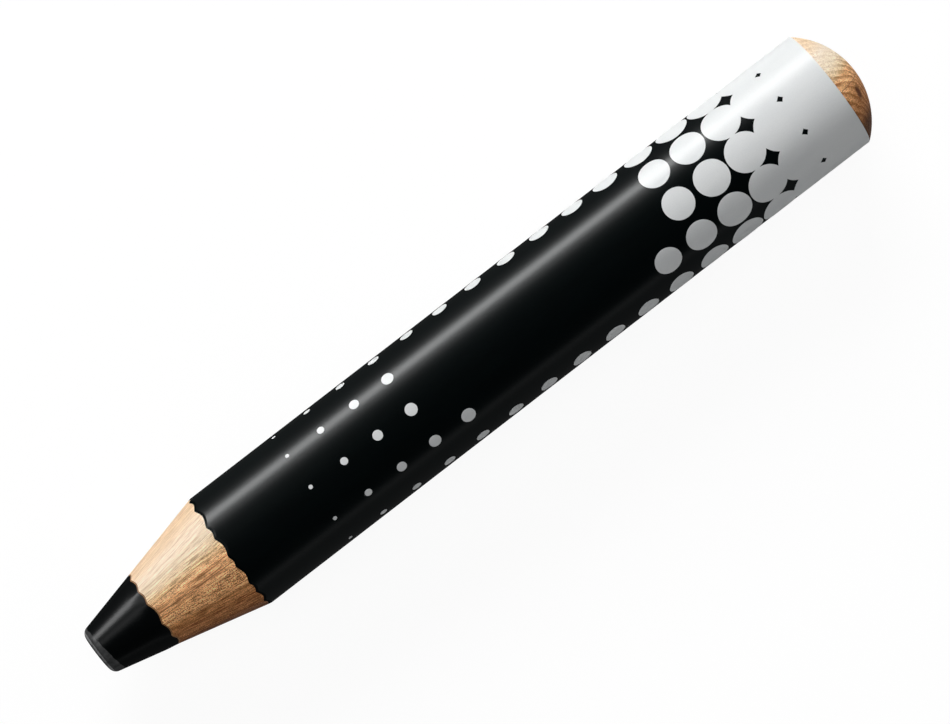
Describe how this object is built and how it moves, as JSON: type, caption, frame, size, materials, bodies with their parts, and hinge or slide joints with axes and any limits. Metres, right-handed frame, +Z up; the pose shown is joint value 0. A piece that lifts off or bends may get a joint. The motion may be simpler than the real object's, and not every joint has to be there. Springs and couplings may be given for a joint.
{
  "type": "marking pencil",
  "caption": "Jumbo wood-cased marking pencil with a thick black lead, sharpened tip, black lacquer, silver halftone print and a domed bare-wood end.",
  "frame": {"origin": "on the surface that the pencil lies on, under the middle of its length", "axes": "+X along the pencil from the writing tip to the domed rear end, +Z up"},
  "size_m": [0.11, 0.0152, 0.0152],
  "materials": {
    "lead": "waxy black marking lead, cut smooth on the cone and rubbed dull grey at the tip",
    "glue": "dried amber wood glue",
    "wood": "bare straight-grained softwood, cut smooth, unvarnished",
    "lacquer": "glossy black lacquer",
    "print": "satin silver-grey printing ink"
  },
  "bodies": {
    "root": {"lead_core": "lead", "glue_film": "glue", "casing_half_left": "wood", "casing_half_right": "wood", "barrel_lacquer": "lacquer", "silver_print": "print"}
  },
  "joints": []
}
